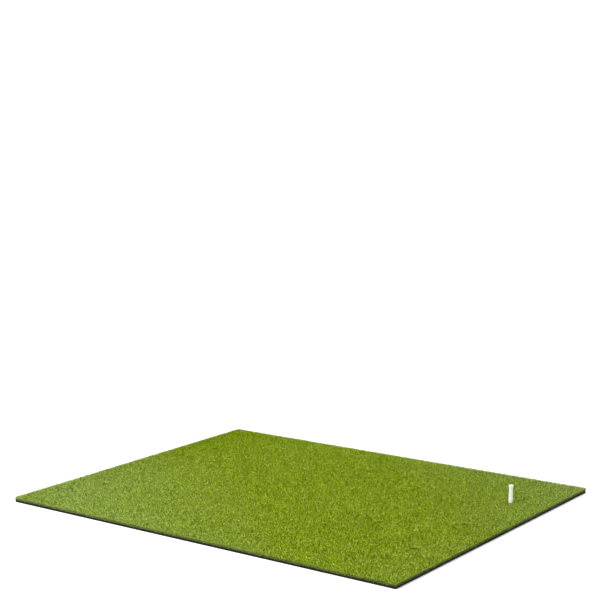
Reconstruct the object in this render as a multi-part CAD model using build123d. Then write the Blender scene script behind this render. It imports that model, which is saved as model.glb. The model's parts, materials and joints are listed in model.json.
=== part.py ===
from build123d import *
import os

# Golf hitting mat: tufted turf glued to a black foam pad, with six tee holes and one rubber tee.
# Millimetres. The origin is the middle of the mat's underside, on the floor, with +X along the
# long side, +Y along the short side and +Z up.

# outline of the mat
mat_length = 1524.0
mat_width = 1219.2

# layers, from the floor up
foam_thickness = 8.0
film_thickness = 0.3
latex_thickness = 1.2
backing_thickness = 0.5
pile_height = 10.0

# tee holes, three beside each short side
hole_radius = 8.0
hole_to_short_side = 127.0
hole_pitch = 304.8
hole_rows = (-1, 0, 1)

# round recess under each hole, in which the tee's flange lies flush with the floor
recess_radius = 23.5
recess_depth = 4.0

# rubber tee: a tube with a flange at its foot and a cup at its top
tee_height = 76.2
flange_radius = 22.0
flange_rim_thickness = 2.4
flange_thickness = 3.6
flange_rounding = 0.8
stem_radius = 7.7
sleeve_height = 24.0
neck_radius = 6.4
neck_height = 60.0
neck_curve = 90.0
lip_height = 73.0
lip_rounding = 0.9
tube_bore_radius = 4.4
cup_radius = 6.2
cup_floor_height = 70.5
cup_rounding = 0.4

# places worked out from the sizes above
hole_x = mat_length / 2 - hole_to_short_side
hole_places = [(side * hole_x, row * hole_pitch) for side in (-1, 1) for row in hole_rows]
tee_place = hole_places[-1]


def layer(bottom, thickness):
    """A sheet as large as the mat, with the six tee holes cut through it."""
    sheet = Rectangle(mat_length, mat_width)
    for place in hole_places:
        sheet -= Pos(*place) * Circle(hole_radius)
    return Pos(0, 0, bottom) * extrude(sheet, thickness)


def make_foam_base():
    """The foam pad, with a recess for a tee's flange around each hole in its underside."""
    pad = layer(0, foam_thickness)
    recess = Cylinder(recess_radius, recess_depth, align=(Align.CENTER, Align.CENTER, Align.MIN))
    for x, y in hole_places:
        pad -= Pos(x, y, 0) * recess
    return pad


def make_tee():
    """The tee, turned from half of its section."""
    corners = [
        (tube_bore_radius, 0),
        (flange_radius, 0),
        (flange_radius, flange_rim_thickness),
        (stem_radius, flange_thickness),
        (stem_radius, sleeve_height),
        (neck_radius, neck_height),
        (stem_radius, lip_height),
        (stem_radius, tee_height),
        (cup_radius, tee_height),
        (tube_bore_radius, cup_floor_height),
    ]
    roundings = {1: flange_rounding, 2: flange_rounding, 5: neck_curve, 7: lip_rounding, 8: cup_rounding}
    section = make_face(Polyline(*corners, close=True))
    for number, radius in roundings.items():
        corner = section.vertices().sort_by_distance((*corners[number], 0))[0]
        section = fillet(corner, radius)
    turned = revolve(Plane.XZ * section, Axis.Z)
    return Pos(*tee_place, 0) * turned


film_bottom = foam_thickness
latex_bottom = film_bottom + film_thickness
backing_bottom = latex_bottom + latex_thickness
pile_bottom = backing_bottom + backing_thickness

nodes = {
    "foam_base": make_foam_base(),
    "adhesive_film": layer(film_bottom, film_thickness),
    "latex_coating": layer(latex_bottom, latex_thickness),
    "woven_backing": layer(backing_bottom, backing_thickness),
    "turf_pile": layer(pile_bottom, pile_height),
    "rubber_tee": make_tee(),
}

os.makedirs("parts", exist_ok=True)
for name, solid in nodes.items():
    export_step(solid, f"parts/{name}.step")
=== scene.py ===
import json
import math

import bpy
import numpy as np
from mathutils import Euler, Matrix, Vector
from mathutils.geometry import delaunay_2d_cdt


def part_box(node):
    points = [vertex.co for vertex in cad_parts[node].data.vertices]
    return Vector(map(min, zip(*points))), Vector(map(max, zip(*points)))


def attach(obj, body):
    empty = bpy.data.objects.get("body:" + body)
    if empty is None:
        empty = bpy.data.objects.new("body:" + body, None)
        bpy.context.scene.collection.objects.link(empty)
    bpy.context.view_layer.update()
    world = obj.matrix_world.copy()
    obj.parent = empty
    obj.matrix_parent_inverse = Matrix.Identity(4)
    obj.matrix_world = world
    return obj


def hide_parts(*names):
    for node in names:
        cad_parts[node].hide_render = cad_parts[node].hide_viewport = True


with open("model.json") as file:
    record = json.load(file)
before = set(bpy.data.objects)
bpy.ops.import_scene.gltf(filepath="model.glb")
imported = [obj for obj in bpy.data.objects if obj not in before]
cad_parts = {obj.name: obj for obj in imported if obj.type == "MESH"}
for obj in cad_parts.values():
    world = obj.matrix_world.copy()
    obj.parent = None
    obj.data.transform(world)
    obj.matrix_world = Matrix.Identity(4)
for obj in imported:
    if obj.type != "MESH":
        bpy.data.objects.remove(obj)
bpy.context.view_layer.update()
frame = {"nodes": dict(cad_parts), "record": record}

# Golf hitting mat. Metres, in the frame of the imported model: the mat lies on the floor at z = 0 with
# its long side along X, and the rubber tee stands in the hole near the +X +Y corner.

MM = 0.001
rng = np.random.default_rng(20)

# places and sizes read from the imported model
foam_low, foam_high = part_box("foam_base")
backing_low, backing_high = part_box("woven_backing")
pile_low, pile_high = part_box("turf_pile")
tee_low, tee_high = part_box("rubber_tee")
half_x, half_y = foam_high.x, foam_high.y
hole_mounts = [m for m in frame["record"]["mounts"] if m["kind"] == "bore"]
tee_middle = (tee_low + tee_high) / 2
holes = np.array([m["pos_m"][:2] for m in hole_mounts] + [tee_middle[:2]])
hole_radius = hole_mounts[0]["dims"]["r_mm"] * MM
recess_radius = 23.5 * MM  # the flange recess under each hole
recess_depth = 4 * MM

# turf
GAUGE = 4.76 * MM          # between rows of tufts
STITCH = 3.5 * MM          # between tufts in a row
YARNS_PER_TUFT = 4
YARN_WIDTH = 1.10 * MM
YARN_LENGTH = 12.6 * MM
YARN_FOOT = pile_low.z + 0.1 * MM  # the height that the yarns stand up from
BEND_AT = 0.52             # where a yarn bends, as a share of its length
BEND_WIDTH = 0.95          # its width there, as a share of the width at its foot
TIP_WIDTH = 0.55           # the width of its cut tip, as a share of the width at its bend
SHORN = pile_high.z - 0.8 * MM  # the height that the pile is shorn to, give or take
SHEAR = 0.8                # the share that is cut off of what stands above it
STRIPS = 10                # the yarns are split into this many pieces, each as long as the mat

# turf round the tee holes
HOLE_GAP = 0.75 * MM       # from a hole's wall to the nearest yarn
RIM_TUFTS = ((1.0 * MM, 22), (2.6 * MM, 24), (4.4 * MM, 26))  # rings of tufts: gap to the hole, count
RIM_WIDTH = 5.2 * MM       # the rows of tufts stop this far from a hole
RIM_LEANING = 9 * MM       # yarns closer than this lean away from the hole
RIM_SHORTER = 7 * MM       # yarns closer than this are shorter, down to this share at the hole:
RIM_SHORTEST = 0.62

# turf along the edge
EDGE_GAP = 1.2 * MM        # from the mat's edge to the nearest tuft
EDGE_PITCH = 1.1 * MM      # between the points on the edge where cut yarns stand
YARNS_PER_EDGE_POINT = 3
DROOPING = 0.38            # the share of them that droop over the black edge


# ---------------------------------------------------------------- helpers

def waves(count, wavelength_points, seed):
    """A closed run of smooth random numbers, about -1 to 1, with that wavelength in points."""
    raw = np.random.default_rng(seed).standard_normal(count)
    frequency = np.fft.fftfreq(count)
    soft = np.fft.ifft(np.fft.fft(raw) * np.exp(-((frequency * wavelength_points) ** 2))).real
    return soft / (2.5 * soft.std() + 1e-12)


def patches(x, y, size, seed):
    """Smooth random numbers from 0 to 1 over the mat, in patches of about that size."""
    cells = np.random.default_rng(seed).random((int(4 * half_x / size) + 4, int(4 * half_y / size) + 4))
    u, v = (x + 2 * half_x) / size, (y + 2 * half_y) / size
    i, j = np.floor(u).astype(int), np.floor(v).astype(int)
    fu, fv = u - i, v - j
    fu, fv = fu * fu * (3 - 2 * fu), fv * fv * (3 - 2 * fv)
    low = cells[i, j] * (1 - fu) + cells[i + 1, j] * fu
    high = cells[i, j + 1] * (1 - fu) + cells[i + 1, j + 1] * fu
    return low * (1 - fv) + high * fv


def add_mesh(name, points, faces, smooth=False):
    """A mesh object from points and a list of faces."""
    mesh = bpy.data.meshes.new(name)
    mesh.from_pydata([tuple(p) for p in points], [], [tuple(int(i) for i in f) for f in faces])
    mesh.validate()
    mesh.shade_smooth() if smooth else mesh.shade_flat()
    piece = bpy.data.objects.new(name, mesh)
    bpy.context.scene.collection.objects.link(piece)
    return piece


def finish_piece(piece, material, body, slot, *nodes):
    """Gives a piece its material and the body that it rides on, and hides the CAD nodes it stands for; its
    slot is not used.
    """
    piece.data.materials.clear()
    piece.data.materials.append(material)
    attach(piece, body)
    if nodes:
        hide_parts(*nodes)
    return piece


# ---------------------------------------------------------------- node materials

class Shader:
    """A material with a Principled surface, and short ways to add nodes to it."""

    def __init__(self, name, roughness=0.6, **constants):
        self.material = bpy.data.materials.new(name)
        self.material.use_nodes = True
        self.tree = self.material.node_tree
        self.surface = self.tree.nodes["Principled BSDF"]
        self.surface.inputs["Roughness"].default_value = roughness
        for socket, value in constants.items():
            self.surface.inputs[socket.replace("_", " ")].default_value = value
        self.place = self.node("ShaderNodeTexCoord").outputs["Object"]

    def node(self, kind, **settings):
        made = self.tree.nodes.new(kind)
        for key, value in settings.items():
            setattr(made, key, value)
        return made

    def link(self, source, target):
        self.tree.links.new(source, target)

    def noise(self, scale, detail=2.0, rough=0.5):
        made = self.node("ShaderNodeTexNoise")
        made.inputs["Scale"].default_value = scale
        made.inputs["Detail"].default_value = detail
        made.inputs["Roughness"].default_value = rough
        self.link(self.place, made.inputs["Vector"])
        return made.outputs["Fac"]

    def cells(self, scale):
        """Packed cells: how far it is to each cell's middle, and a random colour for each cell."""
        made = self.node("ShaderNodeTexVoronoi")
        made.inputs["Scale"].default_value = scale
        self.link(self.place, made.inputs["Vector"])
        return made.outputs["Distance"], made.outputs["Color"]

    def ramp(self, value, *stops):
        """Colours by value: stops are (position, (r, g, b))."""
        made = self.node("ShaderNodeValToRGB")
        elements = made.color_ramp.elements
        while len(elements) < len(stops):
            elements.new(1.0)
        for element, (position, colour) in zip(elements, stops):
            element.position = position
            element.color = (*colour, 1)
        self.link(value, made.inputs["Fac"])
        return made.outputs["Color"]

    def levels(self, value, low, high, to_low=0.0, to_high=1.0):
        made = self.node("ShaderNodeMapRange")
        for socket, number in zip(made.inputs[1:5], (low, high, to_low, to_high)):
            socket.default_value = number
        self.link(value, made.inputs["Value"])
        return made.outputs["Result"]

    def mix(self, share, first, second, blend="MIX"):
        made = self.node("ShaderNodeMix", data_type="RGBA", blend_type=blend)
        for socket, value in ((made.inputs[0], share), (made.inputs[6], first), (made.inputs[7], second)):
            if isinstance(value, (int, float)):
                socket.default_value = value
            elif isinstance(value, tuple):
                socket.default_value = (*value, 1)
            else:
                self.link(value, socket)
        return made.outputs[2]

    def colour(self, value):
        self.link(value, self.surface.inputs["Base Color"])
        return self

    def roughness(self, value):
        self.link(value, self.surface.inputs["Roughness"])
        return self

    def bump(self, height, distance, strength=1.0):
        made = self.node("ShaderNodeBump")
        made.inputs["Strength"].default_value = strength
        made.inputs["Distance"].default_value = distance
        self.link(height, made.inputs["Height"])
        self.link(made.outputs["Normal"], self.surface.inputs["Normal"])
        return self


def yarn_material():
    """Green bent yarn: each has its own green and its own amount of painted sheen, and painted shade darkens
    it towards its foot.
    """
    s = Shader("turf_yarn", roughness=0.7, Specular_IOR_Level=0.02)
    shade = s.node("ShaderNodeAttribute", attribute_name="shade").outputs["Fac"]
    greens = s.ramp(
        shade,
        (0.0, (0.022, 0.035, 0.000)),
        (0.30, (0.115, 0.182, 0.000)),
        (0.62, (0.262, 0.382, 0.001)),
        (0.78, (0.412, 0.525, 0.042)),
        (0.93, (0.675, 0.745, 0.330)),
    )
    painted_sheen = s.node("ShaderNodeAttribute", attribute_name="painted_sheen").outputs["Fac"]
    # painted sheen: each yarn's green is mixed towards this pale grey-green by its own amount of painted
    # sheen
    with_painted_sheen = s.mix(painted_sheen, greens, (0.36, 0.45, 0.17))
    split = s.node("ShaderNodeSeparateXYZ")
    s.link(s.place, split.inputs[0])
    # painted shade: the yarn's colour is darkened towards its foot, down among the other yarns
    painted_foot_shade = s.levels(split.outputs["Z"], 11.5 * MM, 18 * MM, 0.45, 1.0)
    streaks = s.levels(s.noise(900, 2), 0.3, 0.7, 0.85, 1.12)
    product = s.node("ShaderNodeMath", operation="MULTIPLY")
    s.link(painted_foot_shade, product.inputs[0])
    s.link(streaks, product.inputs[1])
    return s.colour(s.mix(1.0, with_painted_sheen, product.outputs[0], "MULTIPLY")).material


def thatch_material():
    """The dense lower part of the pile, seen between the yarns as packed fibre ends, with painted shade
    darkening the gaps between them.
    """
    s = Shader("turf_thatch", roughness=0.85, Specular_IOR_Level=0.1)
    to_middle, luck = s.cells(850)
    speckle = s.mix(0.35, luck, s.noise(260, 3))
    greens = s.ramp(
        speckle,
        (0.2, (0.020, 0.036, 0.001)),
        (0.5, (0.085, 0.135, 0.003)),
        (0.8, (0.22, 0.32, 0.01)),
    )
    # painted shade: the gaps between the fibre ends are darkened, and the bump sinks them
    gap_depth_and_painted_shade = s.levels(to_middle, 0.25, 0.75, 1.0, 0.30)
    return s.colour(s.mix(1.0, greens, gap_depth_and_painted_shade, "MULTIPLY")).bump(gap_depth_and_painted_shade, 0.9 * MM).material


def foam_material():
    """Black closed-cell foam with fine cells."""
    s = Shader("foam_pad", roughness=0.85, Specular_IOR_Level=0.08)
    cell, _ = s.cells(1100)
    tone = s.mix(0.5, cell, s.noise(60, 4, 0.6))
    blacks = s.ramp(
        tone,
        (0.2, (0.004, 0.004, 0.003)),
        (0.55, (0.010, 0.010, 0.008)),
        (0.8, (0.020, 0.020, 0.016)),
    )
    s.colour(blacks)
    s.roughness(s.levels(s.noise(300, 3), 0.3, 0.7, 0.7, 0.92))
    return s.bump(cell, 0.35 * MM, 0.8).material


def latex_material():
    """Filled black latex, rolled on and dried unevenly."""
    s = Shader("latex_coating", roughness=0.8, Specular_IOR_Level=0.2)
    tone = s.noise(350, 4, 0.65)
    s.colour(s.ramp(tone, (0.3, (0.005, 0.006, 0.004)), (0.7, (0.014, 0.016, 0.010))))
    return s.bump(tone, 0.4 * MM).material


def adhesive_material():
    """Thin film of dark adhesive."""
    s = Shader("adhesive_film", roughness=0.7, Specular_IOR_Level=0.2)
    tone = s.noise(500, 3, 0.6)
    s.colour(s.ramp(tone, (0.35, (0.005, 0.005, 0.004)), (0.7, (0.014, 0.013, 0.010))))
    return s.bump(tone, 0.15 * MM).material


def backing_material():
    """Plain weave of flat tape yarn, about 1 mm wide both ways."""
    s = Shader("woven_backing", roughness=0.6)
    warp = s.node("ShaderNodeTexWave", bands_direction="X", wave_profile="SIN")
    weft = s.node("ShaderNodeTexWave", bands_direction="Y", wave_profile="SIN")
    for wave in (warp, weft):
        wave.inputs["Scale"].default_value = 160
        s.link(s.place, wave.inputs["Vector"])
    weave = s.mix(1.0, warp.outputs["Color"], weft.outputs["Color"], "DIFFERENCE")
    s.colour(s.ramp(weave, (0.1, (0.020, 0.030, 0.010)), (0.6, (0.060, 0.090, 0.030))))
    return s.bump(weave, 0.2 * MM).material


def tee_material():
    """White moulded rubber: a fine satin skin, a parting line, faint scuffs and a green tinge at the turf."""
    s = Shader("tee_rubber", roughness=0.42, Subsurface_Weight=0.12, Subsurface_Scale=0.004)
    split = s.node("ShaderNodeSeparateXYZ")
    s.link(s.place, split.inputs[0])
    scuffs = s.levels(s.noise(380, 5, 0.7), 0.56, 0.80, 0.0, 0.7)
    clean = s.ramp(s.noise(35, 3), (0.3, (0.62, 0.64, 0.58)), (0.7, (0.70, 0.72, 0.66)))
    worn = s.mix(scuffs, clean, (0.50, 0.53, 0.44))
    rubbed = s.levels(split.outputs["Z"], 18 * MM, 34 * MM, 0.30, 0.0)
    s.colour(s.mix(rubbed, worn, (0.42, 0.50, 0.24)))
    s.roughness(s.levels(s.noise(260, 4), 0.3, 0.7, 0.34, 0.55))
    off_seam = s.node("ShaderNodeMath", operation="SUBTRACT")
    s.link(split.outputs["X"], off_seam.inputs[0])
    off_seam.inputs[1].default_value = tee_middle.x
    beside = s.node("ShaderNodeMath", operation="ABSOLUTE")
    s.link(off_seam.outputs[0], beside.inputs[0])
    seam = s.levels(beside.outputs[0], 0.0, 0.25 * MM, 1.0, 0.0)
    skin = s.levels(s.noise(1500, 2), 0.3, 0.7, 0.0, 0.35)
    height = s.node("ShaderNodeMath", operation="MAXIMUM")
    s.link(seam, height.inputs[0])
    s.link(skin, height.inputs[1])
    return s.bump(height.outputs[0], 0.15 * MM, 0.7).material


# ---------------------------------------------------------------- bonded layers

def outline(step):
    """Points round the mat's edge, anticlockwise, with the outward direction at each."""
    count_x, count_y = round(2 * half_x / step), round(2 * half_y / step)
    along_x = np.linspace(-half_x, half_x, count_x + 1)[:-1]
    along_y = np.linspace(-half_y, half_y, count_y + 1)[:-1]
    sides = [
        np.stack([along_x, np.full(count_x, -half_y)], 1),
        np.stack([np.full(count_y, half_x), along_y], 1),
        np.stack([-along_x, np.full(count_x, half_y)], 1),
        np.stack([np.full(count_y, -half_x), -along_y], 1),
    ]
    edge = np.concatenate(sides)
    ways = np.sign(np.where(np.abs(edge) > np.array([half_x, half_y]) - 1e-9, edge, 0))
    return edge, ways


def ring(centre, radius, count=40):
    """Points round a circle."""
    turns = np.linspace(0, 2 * math.pi, count, endpoint=False)
    return np.stack([centre[0] + radius * np.cos(turns), centre[1] + radius * np.sin(turns)], 1)


def inside_holes(points, radius):
    """Which points lie within that radius of any tee hole's middle."""
    return (np.linalg.norm(points[:, None] - holes[None], axis=2) < radius).any(1)


def flat_cap(edge, rings, extra=()):
    """Triangles between the mat's edge and the rings, by the numbers of the points.

    The points are those of the edge, then of each ring, then the extra ones inside.
    """
    points = np.concatenate([edge, *rings, *([extra] if len(extra) else [])])
    loops, start = [], 0
    for loop in [edge, *rings]:
        n = len(loop)
        loops += [(start + k, start + (k + 1) % n) for k in range(n)]
        start += n
    radius = np.linalg.norm(rings[0][0] - holes[0])
    made, _, triangles, *_ = delaunay_2d_cdt([Vector(p) for p in points], loops, [], 0, 1e-7)
    triangles = np.array(triangles)
    assert len(made) == len(points)
    middles = np.array([p[:] for p in made])[triangles].mean(1)
    return triangles[~inside_holes(middles, radius * 0.999)]


def slab(name, bottom, top, edge_rows, moved, recess=False, step=3 * MM, inner=(), lift=None):
    """A closed slab with the tee holes in it, and with a recess under each if asked.

    moved(row, count) says how far each of the count edge points stands out in that row. The inner
    points lie in the top face, each at its own height from lift.
    """
    edge, ways = outline(step)
    heights = np.linspace(bottom, top, edge_rows)
    count, points, faces = len(edge), [], []
    for row, height in enumerate(heights):
        shifted = edge + ways * moved(row, count)[:, None]
        points.append(np.column_stack([shifted, np.full(count, height)]))
    for row in range(edge_rows - 1):
        low, high = row * count, (row + 1) * count
        after = [(k + 1) % count for k in range(count)]
        faces += [(low + k, low + after[k], high + after[k], high + k) for k in range(count)]
    start = edge_rows * count
    inner_rings = [ring(h, hole_radius) for h in holes]
    outer_rings = [ring(h, recess_radius) for h in holes] if recess else inner_rings
    size = len(inner_rings[0])
    levels = [(outer_rings, bottom)]
    if recess:
        levels += [(outer_rings, bottom + recess_depth), (inner_rings, bottom + recess_depth)]
    levels.append((inner_rings, top))
    for rings, height in levels:
        points += [np.column_stack([r, np.full(size, height)]) for r in rings]
    per_level = size * len(holes)
    for level in range(len(levels) - 1):
        for hole in range(len(holes)):
            low = start + level * per_level + hole * size
            high = low + per_level
            after = [(k + 1) % size for k in range(size)]
            faces += [(low + k, high + k, high + after[k], low + after[k]) for k in range(size)]
    top_start = start + (len(levels) - 1) * per_level
    extra_start = top_start + per_level
    if len(inner):
        points.append(np.column_stack([inner, lift]))

    def numbers(triangles, edge_start, ring_start):
        """The cap's own numbers turned into the slab's."""
        turned = np.where(triangles < count, triangles + edge_start, triangles - count + ring_start)
        past = triangles >= count + per_level
        return np.where(past, triangles - count - per_level + extra_start, turned)

    under = numbers(flat_cap(edge, outer_rings), 0, start)
    over = numbers(flat_cap(edge, inner_rings, inner), (edge_rows - 1) * count, top_start)
    faces += [tuple(f[::-1]) for f in under] + [tuple(f) for f in over]
    return add_mesh(name, np.concatenate(points), faces)


def make_foam_pad(material):
    """The foam pad: its knife-cut sides wander a little, are finely pitted and have softened arrises."""
    rows = 9

    def cut(row, count):
        arris = 0.35 * MM if row in (0, rows - 1) else 0
        wander = 0.25 * MM * (1 + waves(count, 60, 11))
        pits = 0.10 * MM * np.random.default_rng(100 + row).random(count)
        return -(arris + wander + pits)

    pad = slab("foam_pad", foam_low.z, foam_high.z, rows, cut, recess=True)
    finish_piece(pad, material, "mat", "foam", "foam_base")
    return pad


def make_backing(material):
    """The woven sheet under the pile, with its edge cut a little unevenly."""
    def cut(row, count):
        return -0.35 * MM * (1 + waves(count, 25, 12))

    sheet = slab("backing_cloth", backing_low.z, backing_high.z, 2, cut)
    return finish_piece(sheet, material, "mat", "backing", "woven_backing")


def make_thatch(material):
    """The dense lower part of the pile, as a closed body with an uneven top."""
    step = 5 * MM
    inset = 6 * MM
    xs = np.arange(-half_x + inset, half_x - inset, step)
    ys = np.arange(-half_y + inset, half_y - inset, step)
    grid = np.stack(np.meshgrid(xs, ys), 2).reshape(-1, 2)
    grid = grid + rng.uniform(-0.3, 0.3, grid.shape) * step
    grid = grid[~inside_holes(grid, hole_radius + 2 * MM)]
    lift = pile_low.z + 4.8 * MM + 2.6 * MM * rng.random(len(grid))

    def cut(row, count):
        return -(1.2 + 0.5 * waves(count, 9, 13 + row)) * MM

    body = slab("turf_thatch", pile_low.z, pile_low.z + 4 * MM, 3, cut, inner=grid, lift=lift)
    return finish_piece(body, material, "mat", "turf", "turf_pile")


# ---------------------------------------------------------------- pile yarns

def blades(roots, first_tilt, first_way, second_tilt, second_way, lengths, widths, twist):
    """Six points for each yarn: two at its foot, two at its bend and two at its cut tip."""
    def direction(tilt, way):
        return np.stack([np.sin(tilt) * np.cos(way), np.sin(tilt) * np.sin(way), np.cos(tilt)], 1)

    def across(way):
        return np.stack([-np.sin(way), np.cos(way), np.zeros(len(way))], 1)

    bends = roots + direction(first_tilt, first_way) * (lengths * BEND_AT)[:, None]
    tips = bends + direction(second_tilt, second_way) * (lengths * (1 - BEND_AT))[:, None]
    low = across(first_way + twist) * (widths / 2)[:, None]
    high = across(second_way) * (widths / 2 * BEND_WIDTH)[:, None]
    end = high * TIP_WIDTH
    points = np.stack([roots - low, roots + low, bends + high, bends - high, tips + end, tips - end], 1)
    points[..., 2] -= SHEAR * np.clip(points[..., 2] - SHORN, 0, None)
    return points


def draw_in(points, margin, share):
    """Takes back that share of how far points stand out past the mat's edge and the margin."""
    over = np.abs(points[..., :2]) - (np.array([half_x, half_y]) + margin)
    points[..., :2] -= np.sign(points[..., :2]) * np.clip(over, 0, None) * share


def yarn_piece(name, points, shade, painted_sheen, material):
    """One piece from many yarns, each with its own green and its own amount of painted sheen."""
    count = len(points)
    mesh = bpy.data.meshes.new(name)
    mesh.vertices.add(count * 6)
    mesh.vertices.foreach_set("co", points.reshape(-1).astype(np.float32))
    corners = np.arange(count)[:, None] * 6 + np.array([0, 1, 2, 3, 3, 2, 4, 5])
    mesh.loops.add(count * 8)
    mesh.loops.foreach_set("vertex_index", corners.reshape(-1).astype(np.int32))
    mesh.polygons.add(count * 2)
    starts = np.arange(count)[:, None] * 8 + np.array([0, 4])
    mesh.polygons.foreach_set("loop_start", starts.reshape(-1).astype(np.int32))
    mesh.update(calc_edges=True)
    for attribute, values in (("shade", shade), ("painted_sheen", painted_sheen)):
        made = mesh.attributes.new(attribute, "FLOAT", "FACE")
        made.data.foreach_set("value", np.repeat(values, 2).astype(np.float32))
    piece = bpy.data.objects.new(name, mesh)
    bpy.context.scene.collection.objects.link(piece)
    return finish_piece(piece, material, "mat", "turf", "turf_pile")


def green_of(x, y, tuft_luck, yarn_luck):
    """How light each yarn is: by its own luck most, its tuft's luck and soft patches less.

    Painted shade: the -X side and the +X +Y corner are made a little darker.
    """
    mottle = 0.5 * patches(x, y, 0.055, 1) + 0.5 * patches(x, y, 0.019, 2)
    # painted shade, darker towards the +X +Y corner and along the -X side
    painted_shade_corner = 0.06 * np.clip((x / half_x + y / half_y) / 2 - 0.3, 0, 1)
    painted_shade_side = 0.16 * np.clip(-x / half_x - 0.62, 0, 1)
    luck = 0.09 + 0.66 * yarn_luck + 0.12 * tuft_luck + 0.06 * mottle
    return np.clip(luck - (painted_shade_corner + painted_shade_side), 0, 1)


def painted_sheen_at(x, y):
    """Painted sheen and light: yarns are made a little paler and greyer towards two opposite corners of the
    mat and along its +X side, a little more or less in random patches.
    """
    diagonal = (x / half_x + y / half_y) / 2
    ends = 0.36 * np.clip((np.abs(diagonal - 0.1) - 0.25) / 0.65, 0, 1)
    side = 0.16 * np.clip(x / half_x - 0.6, 0, 1)
    return np.clip(ends + side - 0.02 + 0.08 * (patches(x, y, 0.16, 3) - 0.5), 0, 1)


def tuft_places():
    """Where the tufts stand: in rows over the whole mat, and in rings round each tee hole."""
    rows = int(2 * half_y / GAUGE)
    stitches = int(2 * half_x / STITCH)
    y = (np.arange(rows) + 0.5) * 2 * half_y / rows - half_y
    x = (np.arange(stitches) + 0.5) * 2 * half_x / stitches - half_x
    tx, ty = (a.reshape(-1) for a in np.meshgrid(x, y))
    tx = tx + rng.uniform(-0.9, 0.9, len(tx)) * MM
    ty = ty + rng.uniform(-0.7, 0.7, len(ty)) * MM
    tx = np.clip(tx, -half_x + EDGE_GAP, half_x - EDGE_GAP)
    ty = np.clip(ty, -half_y + EDGE_GAP, half_y - EDGE_GAP)
    rims = [ring(h, hole_radius + gap, count) for h in holes for gap, count in RIM_TUFTS]
    keep = ~inside_holes(np.stack([tx, ty], 1), hole_radius + RIM_WIDTH)
    return (
        np.concatenate([tx[keep], *(r[:, 0] for r in rims)]),
        np.concatenate([ty[keep], *(r[:, 1] for r in rims)]),
    )


def make_field(material):
    """The rows of tufts over the whole mat, as several pieces."""
    tx, ty = tuft_places()
    tuft_luck, tuft_way = rng.random(len(tx)), rng.uniform(0, 2 * math.pi, len(tx))
    tuft_height = rng.uniform(0.95, 1.05, len(tx))

    each = np.repeat(np.arange(len(tx)), YARNS_PER_TUFT)
    n = len(each)
    rx = tx[each] + rng.uniform(-0.8, 0.8, n) * MM
    ry = ty[each] + rng.uniform(-0.8, 0.8, n) * MM
    way = tuft_way[each] + rng.normal(0, 1.1, n)
    lean = np.radians(rng.uniform(4, 32, n))
    bend = np.radians(rng.uniform(12, 62, n))

    # round the tee holes the yarns keep clear, lean away and are shorter
    offsets = np.stack([rx, ry], 1)[:, None] - holes[None]
    distance = np.linalg.norm(offsets, axis=2)
    nearest = distance.argmin(1)
    away, distance = offsets[np.arange(n), nearest], distance[np.arange(n), nearest]
    push = np.clip((hole_radius + HOLE_GAP) / distance - 1, 0, None)
    rx, ry = rx + away[:, 0] * push, ry + away[:, 1] * push
    near = distance < hole_radius + RIM_LEANING
    openness = np.clip((distance - hole_radius) / RIM_SHORTER, 0, 1)
    shortening = RIM_SHORTEST + (1 - RIM_SHORTEST) * openness
    way = np.where(near, np.arctan2(away[:, 1], away[:, 0]) + rng.normal(0, 0.35, n), way)
    turn = np.where(near, 0.0, rng.normal(0, 0.9, n))

    points = blades(
        np.stack([rx, ry, np.full(n, YARN_FOOT)], 1),
        lean, way, bend, way + turn,
        YARN_LENGTH * tuft_height[each] * rng.uniform(0.86, 1.08, n) * shortening,
        YARN_WIDTH * rng.uniform(0.75, 1.15, n),
        rng.normal(0, 0.8, n),
    )
    draw_in(points, 1.5 * MM, 0.75)
    shade = green_of(rx, ry, tuft_luck[each], rng.random(n))
    painted_sheen = painted_sheen_at(rx, ry)
    strip = np.clip(((ry + half_y) / (2 * half_y) * STRIPS).astype(int), 0, STRIPS - 1)
    made = []
    for number in range(STRIPS):
        mine = strip == number
        made.append(yarn_piece(f"turf_yarn_{number + 1}", points[mine], shade[mine], painted_sheen[mine], material))
    return made


def make_edge_yarns(material):
    """The cut yarns that hang out along the four sides and cover the ends of the backing."""
    edge, ways = outline(EDGE_PITCH)
    each = np.repeat(np.arange(len(edge)), YARNS_PER_EDGE_POINT)
    n = len(each)
    outward = ways[each] / np.linalg.norm(ways[each], axis=1)[:, None]
    along = np.stack([-outward[:, 1], outward[:, 0]], 1)
    roots = edge[each] - outward * (rng.uniform(0.3, 1.6, n) * MM)[:, None]
    roots = roots + along * (rng.uniform(-0.8, 0.8, n) * MM)[:, None]
    facing = np.arctan2(outward[:, 1], outward[:, 0])
    way = facing + rng.normal(0, 0.55, n)
    lean = np.radians(rng.uniform(2, 34, n))
    bend = np.radians(rng.uniform(10, 62, n))
    droops = rng.random(n) < DROOPING
    lean = np.where(droops, np.radians(rng.uniform(60, 105, n)), lean)
    bend = np.where(droops, np.radians(rng.uniform(125, 172, n)), bend)
    length = YARN_LENGTH * rng.uniform(0.55, 1.0, n)
    length = np.where(droops, length * rng.uniform(0.35, 0.75, n), length)
    points = blades(
        np.column_stack([roots, np.full(n, YARN_FOOT)]),
        lean, way, bend, way + rng.normal(0, 0.7, n),
        length, YARN_WIDTH * rng.uniform(0.7, 1.1, n), rng.normal(0, 0.8, n),
    )
    draw_in(points, 1.2 * MM, 0.7)
    shade = green_of(roots[:, 0], roots[:, 1], rng.random(n), rng.random(n))
    # the cut yarns along the sides get more painted sheen than the field
    painted_sheen = np.clip(painted_sheen_at(roots[:, 0], roots[:, 1]) + 0.15, 0, 1)
    return yarn_piece("turf_edge_yarn", points, shade, painted_sheen, material)


# ---------------------------------------------------------------- stage

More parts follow.
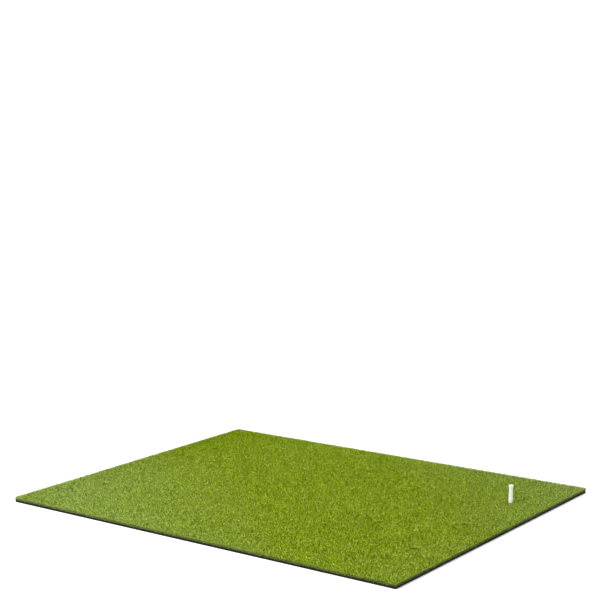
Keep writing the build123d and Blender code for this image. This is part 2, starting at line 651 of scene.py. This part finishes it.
def make_floor():
    """The plain pale floor that the mat lies on."""
    size = 30.0
    corners = [(-size, -size, 0), (size, -size, 0), (size, size, 0), (-size, size, 0)]
    floor = add_mesh("floor", corners, [(0, 1, 2, 3)])
    s = Shader("pale_floor", roughness=0.9)
    s.colour(s.ramp(s.noise(3, 2), (0.3, (0.90, 0.90, 0.90)), (0.7, (0.92, 0.92, 0.92))))
    floor.data.materials.append(s.material)


def add_area_light(name, place, target, size, power):
    """A round soft light at a place, aimed at a target."""
    light = bpy.data.lights.new(name, "AREA")
    light.shape = "DISK"
    light.size = size
    light.energy = power
    lamp = bpy.data.objects.new(name, light)
    lamp.location = place
    lamp.rotation_euler = (Vector(target) - Vector(place)).to_track_quat("-Z", "Y").to_euler()
    bpy.context.scene.collection.objects.link(lamp)


def make_lights():
    """An even white studio, with one soft key light from the front."""
    world = bpy.data.worlds.new("studio")
    world.use_nodes = True
    world.node_tree.nodes["Background"].inputs["Color"].default_value = (1, 1, 1, 1)
    world.node_tree.nodes["Background"].inputs["Strength"].default_value = 1.2
    bpy.context.scene.world = world
    add_area_light("key", (-0.6, -3.3, 3.6), (0, 0, 0), 0.9, 250)


def make_camera():
    """The photographer's place: low, in front of the mat's near corner, with a long lens."""
    camera = bpy.data.objects.new("camera", bpy.data.cameras.new("camera"))
    camera.data.lens = 91.2
    camera.data.sensor_width = 36
    camera.location = (2.957, -4.082, 1.432)
    yaw, pitch, roll = math.radians(126.01), math.radians(8.46), math.radians(-0.18)
    aimed = Euler((math.pi / 2 - pitch, 0, yaw - math.pi / 2)).to_matrix()
    camera.rotation_euler = (aimed @ Matrix.Rotation(roll, 3, "Z")).to_euler()
    bpy.context.scene.collection.objects.link(camera)
    bpy.context.scene.camera = camera


# ---------------------------------------------------------------- the mat

make_foam_pad(foam_material())
for node, material, slot in (
    ("adhesive_film", adhesive_material(), "adhesive"),
    ("latex_coating", latex_material(), "latex"),
    ("rubber_tee", tee_material(), "tee_rubber"),
):
    carried = frame["nodes"][node]
    carried.data.materials.clear()
    carried.data.materials.append(material)
backing = make_backing(backing_material())
yarn = yarn_material()
pile = [make_thatch(thatch_material()), *make_field(yarn), make_edge_yarns(yarn)]

make_floor()
make_lights()
make_camera()
bpy.context.scene.view_settings.view_transform = "Standard"
